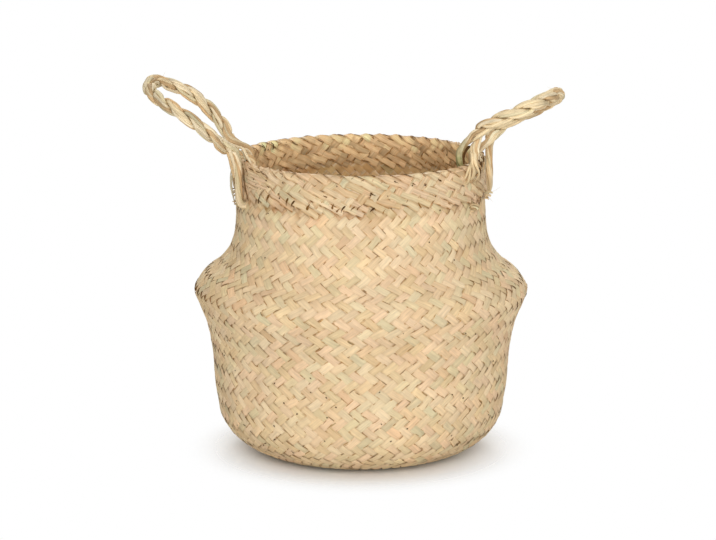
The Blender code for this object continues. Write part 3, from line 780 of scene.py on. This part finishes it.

# Loose strands about each handle's front leg: radius, tone, points
# The dark brown strands are painted shade, laid under the arch and in gaps beside the tails where shade
# falls
PALE, TAN, GREY, STRAND_SHADOW = (0.86, 0.72, 0.50), (0.74, 0.54, 0.31), (0.56, 0.50, 0.36), (0.13, 0.065, 0.022)
LEFT_LOOSE = (
    (0.0018, TAN, ((-0.1045, -0.0405, 0.2430), (-0.0993, -0.0370, 0.2365), (-0.0966, -0.0360, 0.2295),
                   (-0.0952, -0.0350, 0.2225), (-0.0935, -0.0335, 0.2140))),
    (0.0016, PALE, ((-0.1040, -0.0415, 0.2445), (-0.0975, -0.0390, 0.2370), (-0.0948, -0.0385, 0.2300),
                    (-0.0932, -0.0370, 0.2235), (-0.0925, -0.0350, 0.2150))),
    (0.0005, GREY, ((-0.0942, -0.0340, 0.2190), (-0.0957, -0.0310, 0.2116), (-0.0950, -0.0300, 0.2020),
                    (-0.0935, -0.0297, 0.1948))),
    (0.0006, GREY, ((-0.0950, -0.0345, 0.2230), (-0.0963, -0.0315, 0.2140), (-0.0958, -0.0305, 0.2050),
                    (-0.0937, -0.0300, 0.1955))),
    (0.0004, GREY, ((-0.0940, -0.0335, 0.2150), (-0.0966, -0.0310, 0.2080), (-0.0940, -0.0296, 0.1960))),
    (0.0006, PALE, ((-0.0915, -0.0330, 0.2360), (-0.0880, -0.0345, 0.2372), (-0.0846, -0.0370, 0.2312),
                    (-0.0816, -0.0408, 0.2272), (-0.0775, -0.0395, 0.2215))),
    (0.0005, PALE, ((-0.0910, -0.0310, 0.2350), (-0.0868, -0.0325, 0.2358), (-0.0832, -0.0355, 0.2300),
                    (-0.0800, -0.0390, 0.2250))),
    (0.0004, GREY, ((-0.0905, -0.0320, 0.2345), (-0.0872, -0.0335, 0.2330), (-0.0850, -0.0350, 0.2262))),
    (0.0005, STRAND_SHADOW, ((-0.0865, -0.0405, 0.2227), (-0.0858, -0.0425, 0.2131), (-0.0845, -0.0452, 0.2060),
                     (-0.0828, -0.0482, 0.1995))),
)
RIGHT_LOOSE = (
    (0.0008, PALE, ((0.0838, -0.0505, 0.2385), (0.0858, -0.0478, 0.2325), (0.0856, -0.0462, 0.2265),
                    (0.0840, -0.0448, 0.2185))),
    (0.0007, PALE, ((0.0838, -0.0505, 0.2390), (0.0870, -0.0455, 0.2325), (0.0880, -0.0412, 0.2262),
                    (0.0868, -0.0380, 0.2185))),
    (0.0006, TAN, ((0.0838, -0.0508, 0.2395), (0.0880, -0.0435, 0.2330), (0.0905, -0.0362, 0.2268),
                   (0.0902, -0.0312, 0.2180))),
    (0.0007, PALE, ((0.0838, -0.0505, 0.2375), (0.0846, -0.0492, 0.2320), (0.0832, -0.0490, 0.2265),
                    (0.0812, -0.0490, 0.2190))),
    (0.0006, GREY, ((0.0840, -0.0508, 0.2390), (0.0888, -0.0415, 0.2322), (0.0920, -0.0318, 0.2265),
                    (0.0917, -0.0262, 0.2190))),
    (0.0018, STRAND_SHADOW, ((0.0752, -0.0412, 0.2255), (0.0748, -0.0426, 0.2305), (0.0754, -0.0445, 0.2345),
                     (0.0772, -0.0468, 0.2378), (0.0795, -0.0490, 0.2400))),
    (0.0009, STRAND_SHADOW, ((0.0862, -0.0478, 0.2300), (0.0868, -0.0462, 0.2278), (0.0872, -0.0450, 0.2250))),
    (0.0010, STRAND_SHADOW, ((0.0880, -0.0440, 0.2275), (0.0886, -0.0426, 0.2255), (0.0884, -0.0420, 0.2222))),
    (0.0008, STRAND_SHADOW, ((0.0868, -0.0462, 0.2232), (0.0876, -0.0446, 0.2218), (0.0878, -0.0436, 0.2190))),
    (0.0008, STRAND_SHADOW, ((0.0893, -0.0418, 0.2318), (0.0900, -0.0404, 0.2300), (0.0902, -0.0396, 0.2270))),
    (0.0006, PALE, ((0.0815, -0.0505, 0.2270), (0.0868, -0.0430, 0.2262), (0.0893, -0.0365, 0.2240),
                    (0.0890, -0.0330, 0.2195))),
)


class Handle:
    """A rope loop: its hinge line, its route and the two plies that twist along it."""

    def __init__(self, name, azimuth, spread, root, front_drop, route, loose, shade):
        """azimuth: where the loop is. spread: from there to each leg. root: how steeply the rope
        starts. All three are in degrees. front_drop: how far the front outer tail's hole is below
        the rim."""
        self.name, self.route, self.loose, self.shade = name, route, loose, shade
        self.front_drop, self.root = front_drop, math.radians(root)
        self.short_front = front_drop < HOLE_DROP
        azimuth, spread = math.radians(azimuth), math.radians(spread)
        self.out = np.array([math.cos(azimuth), math.sin(azimuth), 0.0])
        rear = np.array([-math.sin(azimuth), math.cos(azimuth), 0.0])
        self.rear = rear if rear[1] > 0 else -rear
        self.leg_half = HINGE_RADIUS * math.sin(spread)
        self.hinge = self.out * HINGE_RADIUS * math.cos(spread) + UP * HINGE_HEIGHT

    def place(self, reach, side, rise):
        return self.hinge + self.out * reach + self.rear * side + UP * rise

    def leg(self, side):
        """A leg's place on the hinge line, its outward axis and its axis away from the other leg.
        side: -1 at the front, 1 at the rear."""
        root = self.place(0, self.leg_half * side, 0)
        out = unit(np.array([root[0], root[1], 0.0]))
        away = np.cross(UP, out)
        return root, out, away if away @ self.rear * side > 0 else -away

    def centre_line(self):
        reach, rise = ROOT_STRAIGHT * math.cos(self.root), ROOT_STRAIGHT * math.sin(self.root)
        half = self.leg_half
        points = [self.place(0, -half, 0), self.place(reach, -half, rise)]
        for out, side, up in self.route:
            points.append(self.place(HANDLE_REACH * out, HANDLE_HALF_WIDTH * side, HANDLE_RISE * up))
        points += [self.place(reach, half, rise), self.place(0, half, 0)]
        return resample(smooth_line(points), LOOP_SPACING)

    def plies(self):
        line = self.centre_line()
        arc = arc_lengths(line)
        along = unit(np.gradient(line, axis=0))
        slope = math.atan2(HANDLE_RISE, HANDLE_REACH)
        face = UP * math.cos(slope) - self.out * math.sin(slope)
        side = unit(np.cross(along, face))
        lift = np.cross(side, along)
        turn = np.clip((arc - ROOT_STRAIGHT) / (arc[-1] - 2 * ROOT_STRAIGHT), 0, 1)
        for start in (0.0, math.pi):
            phase = start + turn * ROPE_TURNS * FULL_TURN
            yield line + (side * np.cos(phase)[:, None] - lift * np.sin(phase)[:, None]) * PLY_OFFSET


def tail_points(inner, drop, radius):
    """Radius and height of a tail's points from the rim to its stub beyond the wall."""
    hole = RIM_HEIGHT - drop
    face = GAP + BORDER_THICKNESS + PLY_RADIUS * 0.9
    if inner:
        reach = FOLD_INNER + face
        angles = np.linspace(math.pi / 2 + 0.2, math.pi, 5)
        points = [(RIM_MID + reach * math.cos(a), WALL_TOP + reach * math.sin(a)) for a in angles]
        low = INNER.at_height(RIM_HEIGHT - 0.024)[0] - face - GAP
        outside = OUTER.at_height(hole)[0]
        points += [(low, hole + 0.008), (low + 0.001, hole + 0.002), (low + 0.004, hole)]
        return points + [(outside + 0.002, hole), (outside + 0.0042, hole - 0.0010)]
    short = drop < BORDER_OUT
    low = OUTER.at_height(hole if short else RIM_HEIGHT - 0.027)[0] + face
    points = [(max(WALL_TOP_RADIUS + face, radius), RIM_HEIGHT - 0.002)]
    points += [(low, hole + 0.0045)] if short else [(low, hole + 0.009), (low - 0.0008, hole + 0.0025)]
    inside = INNER.at_height(hole)[0]
    return points + [(low - 0.003, hole), (inside - 0.001, hole), (inside - 0.0055, hole - 0.0005)]


def tail_route(start, leg_out, away, shift, inner, drop):
    """The ply beyond the hinge, from its start to its stub."""
    pairs = tail_points(inner, drop, start @ leg_out)
    first, height = start @ away, start[2]
    bottom = min(z for _, z in pairs)
    points = []
    for r, z in pairs:
        share = np.clip((height - z) / (height - bottom) * 2, 0, 1)
        points.append(leg_out * r + away * (first + (shift - first) * share) + UP * z)
    return points


def whole_plies(handle):
    """Each ply as one line: a stub, its tail, the rope and the other leg's tail and stub."""
    for ply_number, ply in enumerate(handle.plies()):
        tails = []
        for end, side, outer_drop in ((ply[0], -1, handle.front_drop), (ply[-1], 1, HOLE_DROP)):
            root, leg_out, away = handle.leg(side)
            inner = (end - root) @ away < 0
            shift, drop = (-HOLE_SPREAD, HOLE_DROP) if inner else (HOLE_SPREAD, outer_drop)
            tails.append(tail_route(end, leg_out, away, shift, inner, drop))
        front, rear = tails
        if handle.short_front and ply_number != FANNED_PLY:
            front = front[ARCH_TAIL_SKIP:][::-1] + list(ARCH_POINTS)
            rope_points = ply[ARCH_PLY_SKIP:-ROOT_SKIP:PLY_STEP]
        else:
            front = front[::-1]
            rope_points = ply[ROOT_SKIP:-ROOT_SKIP:PLY_STEP]
        yield np.vstack([front, rope_points, rear])


def frames_along(line):
    """Directions ahead, and side and lift vectors carried along a line without turning about it."""
    ahead = unit(np.gradient(line, axis=0))
    side = np.empty_like(line)
    current = unit(np.cross(ahead[0], UP + 0.3 * ahead[0][[1, 2, 0]]))
    for i, a in enumerate(ahead):
        current = unit(current - a * (current @ a))
        side[i] = current
    return ahead, side, np.cross(ahead, side)


def pressed(offset, line, ahead, centre):
    """Strand offsets made flatter towards the rope's middle and wider round it, inside the rope."""
    gaps = np.linalg.norm(line[:, None, :] - centre[None, :, :], axis=2)
    nearest = np.argmin(gaps, axis=1)
    step = np.linalg.norm(centre[1] - centre[0])
    from_root = np.minimum(nearest, len(centre) - 1 - nearest) * step
    share = smoothstep(from_root / PRESS_FADE)[:, None]
    radial = line - centre[nearest]
    radial /= np.linalg.norm(radial, axis=1)[:, None] + 1e-9
    around = np.cross(ahead, radial)
    inward = np.sum(offset * radial, axis=1)[:, None] * radial
    sideways = np.sum(offset * around, axis=1)[:, None] * around
    return offset + share * (PRESS_WIDER * sideways - PRESS_FLATTER * inward - PRESS_IN * radial)


def crease_shade(points, centre):
    """Darker tones where strands lie deep between the two plies of a rope."""
    gaps = np.linalg.norm(points[:, None, :] - centre[None, ::4, :], axis=2)
    nearest = np.argmin(gaps, axis=1)
    in_rope = (nearest > 4) & (nearest < gaps.shape[1] - 5)
    deep = 1 - smoothstep((gaps.min(axis=1) - CREASE_DEPTH[0]) / CREASE_DEPTH[1])
    return 1 - (deep * in_rope)[:, None] * CREASE_TINT


def uneven(arc, knots, size):
    return np.interp(arc, np.linspace(0, arc[-1], knots), rng.normal(0, size, knots))


def fan_out(handle, line, k):
    """How far a strand of the short front tail spreads over the border towards the other leg."""
    root, leg_out, away = handle.leg(-1)
    beyond = np.linalg.norm(line - root, axis=1)
    front = ((line - root) @ UP < 0) & (np.arange(len(line)) < len(line) // 3)
    share = smoothstep((beyond - 0.001) / 0.013) * front
    return share[:, None] * (-away * FAN_REACH[k] + UP * FAN_RISE[k] - leg_out * 0.0006)


def arch(line):
    """How near each point is to the high arch beside the short tail; more than 1 low on it."""
    away = np.linalg.norm(line[:, None, :] - np.array(ARCH_POINTS[:5]), axis=2).min(axis=1)
    deeper = 1 + 0.9 * smoothstep((0.240 - line[:, 2]) / 0.012)
    return np.exp(-((away / ARCH_WIDTH) ** 2)) * deeper


def add_ply(fabric, handle, ply_number, control, centre):
    line = resample(smooth_line(control, 8), PLY_SPACING)
    ahead, side, lift = frames_along(line)
    arc = arc_lengths(line)
    splay = 1 - smoothstep(np.minimum(arc, arc[-1] - arc) / SPLAY_LENGTH)
    fanned = handle.short_front and ply_number == FANNED_PLY
    bow = arch(line)[:, None] if handle.short_front and not fanned else 0.0
    low = smoothstep((HINGE_HEIGHT + 0.004 - line[:, 2:]) / 0.010)
    for k in range(STRAND_COUNT + 1):
        in_ring, size = (STRAND_RING, STRAND_RADIUS) if k < STRAND_COUNT else (CORE_RING, CORE_RADIUS)
        start = FULL_TURN * (k / STRAND_COUNT + rng.uniform(-0.03, 0.03))
        phase = start - FULL_TURN * arc / STRAND_LAY + uneven(arc, 30, 0.14)
        swell = 1 + uneven(arc, 40, 0.09)
        ring = PLY_RADIUS * in_ring * swell * (1 + 1.3 * splay * rng.uniform(0, 1))
        offset = side * (np.cos(phase) * ring)[:, None] + lift * (np.sin(phase) * ring)[:, None]
        offset = pressed(offset, line, ahead, centre)
        radii = PLY_RADIUS * size * (1 - 0.65 * splay) * (1 + uneven(arc, 50, 0.08))
        if fanned:
            fan = fan_out(handle, line, k)
            offset = offset + fan
            radii = radii * (1 - 0.45 * np.clip(np.linalg.norm(fan, axis=1) / 0.010, 0, 1))
        tone = pick_tone(ROPE_PALETTE, ROPE_SHARES) * rng.uniform(0.90, 1.05)
        tones = np.clip(tone * (1 + uneven(arc, 36, 0.13))[:, None], 0, 1) * (1 - bow * ARCH_SHADE)
        tones = tones * (1 - low * (1 - TAIL_TINT)) * handle.shade * crease_shade(line + offset, centre)
        seed = 400 + 10 * ply_number + k
        fabric.add_strand(line + offset, radii, STRAND_FLAT, phase + math.pi / 2, 8, tones, seed)
    add_hairs(fabric, line, ahead, side, lift)


def add_hairs(fabric, line, ahead, side, lift):
    """Fine fibres that stand off the ply, more of them at its two cut ends."""
    t = np.linspace(0, 1, 5)[:, None]
    for number in range(HAIRS_PER_PLY + HAIRS_AT_ENDS):
        i = int(rng.integers(12, len(line) - 12))
        if number >= HAIRS_PER_PLY:
            i = int(rng.choice([rng.integers(1, 9), len(line) - rng.integers(2, 10)]))
        angle = rng.uniform(0, FULL_TURN)
        out = side[i] * math.cos(angle) + lift[i] * math.sin(angle)
        along = ahead[i] * rng.choice([-1.0, 1.0])
        length = rng.uniform(0.002, 0.0055)
        lean = rng.uniform(0.3, 1.1)
        hair = line[i] + out * PLY_RADIUS * 0.9 + (along * t + out * lean * t**1.4) * length
        hair = hair + np.cross(along, out) * rng.normal(0, 0.3) * length * t**2
        tone = pick_tone(ROPE_PALETTE, ROPE_SHARES)
        fabric.add_strand(hair, np.linspace(0.00013, 0.00006, 5), 1.0, np.zeros(5), 3, tone, 600 + number)


def add_loose(fabric, points, radius, tone, seed):
    """A strand of its own through the points, thinner towards its ends."""
    line = resample(smooth_line(points, 6), LOOSE_SPACING)
    taper = 0.3 + 0.7 * np.sin(math.pi * np.linspace(0.06, 0.94, len(line))) ** 0.5
    fabric.add_strand(line, radius * taper, 0.8, np.full(len(line), 0.6), 6, tone, seed)


def build_rope(handle, material):
    """Both plies of a handle with their tails, hairs and loose strands, as one mesh."""
    fabric = Fabric()
    centre = handle.centre_line()
    for ply_number, control in enumerate(whole_plies(handle)):
        add_ply(fabric, handle, ply_number, control, centre)
    for number, (radius, tone, points) in enumerate(handle.loose):
        add_loose(fabric, points, radius, tone, 800 + number)
    return fabric.build(handle.name + "_rope", material)


# Materials

CRACK_SHADE_COLOR = (0.42, 0.175, 0.030)
SPECULAR = 0.12
FLOOR_GREY = (0.90, 0.90, 0.90, 1)
# The floor shows in the picture only near the basket: where it starts to fade and where it is gone
FLOOR_FADE = (0.062, 0.140)
WORLD_LIGHT = (1, 0.950, 0.81, 1)
WORLD_STRENGTH = 0.35


class Tree:
    """Adds nodes to a node tree. An input is a plain value or another node's output."""

    def __init__(self, tree):
        self.nodes, self.links = tree.nodes, tree.links

    def fill(self, node, inputs):
        for name, value in inputs.items():
            if isinstance(value, bpy.types.NodeSocket):
                self.links.new(value, node.inputs[name])
            else:
                node.inputs[name].default_value = value
        return node.outputs

    def add(self, kind, inputs, **settings):
        node = self.nodes.new("ShaderNode" + kind)
        for name, value in settings.items():
            setattr(node, name, value)
        return self.fill(node, inputs)


def new_material(name):
    material = bpy.data.materials.new(name)
    material.use_nodes = True
    return material, Tree(material.node_tree)


def seagrass(name, soft_edge, crack_share, rough, bump_depth, across_scale, fibre_depth):
    """Dried seagrass: a tone of its own for each strip, fine fibres along it, soft darker edges that are
    partly the grass's own and partly painted shade, and here and there a dark crack along an edge, painted
    as shade."""
    material, tree = new_material(name)
    tone = tree.add("Attribute", {}, attribute_name="tone")
    uv = tree.add("UVMap", {}, uv_map="fibre")["UV"]

    def noise_map(scale_x, scale_y, detail, roughness):
        mapped = tree.add("Mapping", {"Vector": uv, "Scale": (scale_x, scale_y, 1)})["Vector"]
        inputs = {"Vector": mapped, "Scale": 1, "Detail": detail, "Roughness": roughness}
        return tree.add("TexNoise", inputs, noise_dimensions="2D")["Fac"]

    def ramp(value, low, high, out_low, out_high):
        inputs = {"Value": value, "From Min": low, "From Max": high, "To Min": out_low, "To Max": out_high}
        return tree.add("MapRange", inputs)["Result"]

    def combined(operation, a, b):
        return tree.add("Math", {0: a, 1: b}, operation=operation)["Value"]

    def scaled(color, factor):
        return tree.add("VectorMath", {0: color, "Scale": factor}, operation="SCALE")["Vector"]

    fibres = noise_map(across_scale, 0.55, 3, 0.6)
    blotch = ramp(noise_map(1.2, 1.1, 2, 0.5), 0.2, 0.8, 0.92, 1.07)
    light = combined("MULTIPLY", ramp(fibres, 0.25, 0.75, 1 - fibre_depth, 1 + fibre_depth), blotch)
    edge = tone["Alpha"]
    patch = noise_map(2.3, 1.15, 1, 0.5)
    # painted shade: dark cracks along the strip edges, in patches
    cracked = ramp(patch, crack_share, crack_share + 0.05, 0.0, 1.0)
    crack = combined("MULTIPLY", cracked, ramp(edge, 0.60, 0.92, 0.0, 0.85))
    shade = combined("MAXIMUM", ramp(edge, 0.50, 1.0, 0.0, soft_edge), crack)
    dark = scaled(CRACK_SHADE_COLOR, ramp(patch, crack_share + 0.05, crack_share + 0.15, 1.0, 0.28))
    colors = {"Factor": shade, "A": scaled(tone["Color"], light), "B": dark}
    color = tree.add("Mix", colors, data_type="RGBA")["Result"]
    bump = tree.add("Bump", {"Strength": 0.5, "Distance": bump_depth, "Height": fibres})["Normal"]
    look = {"Base Color": color, "Roughness": rough, "Specular IOR Level": SPECULAR, "Normal": bump}
    tree.fill(tree.nodes["Principled BSDF"], look)
    return material


def build_floor():
    bpy.ops.mesh.primitive_circle_add(vertices=96, radius=3.0, fill_type="NGON", location=(0, 0, -0.0002))
    floor = bpy.context.object
    floor.name = "floor"
    material, tree = new_material("floor")
    look = {"Base Color": FLOOR_GREY, "Roughness": 0.9, "Specular IOR Level": 0.0}
    solid = tree.fill(tree.nodes["Principled BSDF"], look)["BSDF"]
    clear = tree.add("BsdfTransparent", {})["BSDF"]
    position = tree.add("NewGeometry", {})["Position"]
    away = tree.add("VectorMath", {0: position}, operation="LENGTH")["Value"]
    fade = {"Value": away, "From Min": FLOOR_FADE[0], "From Max": FLOOR_FADE[1]}
    faded = tree.add("MapRange", fade, interpolation_type="SMOOTHERSTEP")["Result"]
    camera_ray = tree.add("LightPath", {})["Is Camera Ray"]
    seen = tree.add("Math", {0: faded, 1: camera_ray}, operation="MULTIPLY")["Value"]
    mix = tree.add("MixShader", {"Fac": seen, 1: solid, 2: clear})["Shader"]
    tree.fill(tree.nodes["Material Output"], {"Surface": mix})
    floor.data.materials.append(material)


def build_world():
    """Warm soft light, and plain white where the camera or a reflection sees the world itself."""
    world = bpy.data.worlds.new("studio")
    bpy.context.scene.world = world
    world.use_nodes = True
    tree = Tree(world.node_tree)
    light = {"Color": WORLD_LIGHT, "Strength": WORLD_STRENGTH}
    warm = tree.fill(tree.nodes["Background"], light)["Background"]
    white = tree.add("Background", {"Color": (1, 1, 1, 1), "Strength": 1.0})["Background"]
    rays = tree.add("LightPath", {})
    seen = rays["Is Camera Ray"]
    for other in ("Is Glossy Ray", "Is Transmission Ray"):
        seen = tree.add("Math", {0: seen, 1: rays[other]}, operation="MAXIMUM")["Value"]
    mix = tree.add("MixShader", {"Fac": seen, 1: warm, 2: white})["Shader"]
    tree.fill(tree.nodes["World Output"], {"Surface": mix})


# Lamps and camera

# Name, place, size, power in watts
LAMPS = (
    ("key", (0.10, -2.3, 1.05), 1.3, 35),
    ("fill", (1.6, -1.2, 0.9), 1.6, 1.5),
    ("back", (0.0, 2.2, 1.5), 0.7, 20),
    ("top", (0.0, 0.15, 2.4), 0.6, 7),
)
LAMP_TARGET = (0, 0, 0.13)
CAMERA_PLACE = (-0.0022, -2.2, 0.613)
CAMERA_TARGET = (-0.0022, 0, 0.137)
CAMERA_LENS = 150
CAMERA_SENSOR = 36


def aim(item, place, target):
    item.location = place
    item.rotation_euler = (Vector(target) - Vector(place)).to_track_quat("-Z", "Y").to_euler()


def build_lamps():
    for name, place, size, power in LAMPS:
        data = bpy.data.lights.new(name, "AREA")
        data.shape = "SQUARE"
        data.size = size
        data.energy = power
        aim(placed(name, data), place, LAMP_TARGET)


def build_camera():
    data = bpy.data.cameras.new("camera")
    data.lens = CAMERA_LENS
    data.sensor_width = CAMERA_SENSOR
    camera = placed("camera", data)
    aim(camera, CAMERA_PLACE, CAMERA_TARGET)
    bpy.context.scene.camera = camera


# Scene

weave = seagrass(
    "plaited_seagrass", soft_edge=0.07, crack_share=0.615, rough=0.62,
    bump_depth=0.0002, across_scale=4.5, fibre_depth=0.11,
)
border = seagrass(
    "border_seagrass", soft_edge=0.33, crack_share=0.548, rough=0.60,
    bump_depth=0.0003, across_scale=5.0, fibre_depth=0.20,
)
rope = seagrass(
    "rope_seagrass", soft_edge=0.35, crack_share=0.58, rough=0.66,
    bump_depth=0.0004, across_scale=8, fibre_depth=0.24,
)

walls = build_wall(weave)
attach(walls["base_weave"], "bowl")
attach(walls["belly_weave"], "bowl")
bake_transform(walls["shoulder_weave"])
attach(walls["neck_weave"], "neck")
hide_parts("base_mat")
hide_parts("belly_wall")
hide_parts("shoulder_band")
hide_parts("neck_wall")

rim = build_border(border)
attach(rim, "neck")
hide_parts("outer_rim_border", "inner_rim_border")

handles = (
    Handle(
        "left_handle", azimuth=184, spread=16, root=40,
        front_drop=HOLE_DROP, route=LEFT_ROUTE, loose=LEFT_LOOSE, shade=0.985,
    ),
    Handle(
        "right_handle", azimuth=-12.5, spread=18.5, root=75,
        front_drop=BORDER_HOLE_DROP, route=RIGHT_ROUTE, loose=RIGHT_LOOSE, shade=1.0,
    ),
)
for handle in handles:
    item = build_rope(handle, rope)
    lead = handle.out * math.cos(handle.root) + UP * math.sin(handle.root)
    start, end = handle.hinge - lead * 0.003, handle.hinge + lead * 0.005
    tuple(start)
    tuple(end)
    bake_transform(item)
    nodes = [f"{handle.name}_rope_first_ply", f"{handle.name}_rope_second_ply"]
    for leg in ("front", "rear"):
        for kind in ("outer", "inner"):
            nodes.append(f"{handle.name}_{leg}_{kind}_tail")
    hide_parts(*nodes)

build_floor()
build_world()
build_lamps()
build_camera()
bpy.context.scene.view_settings.view_transform = "Standard"
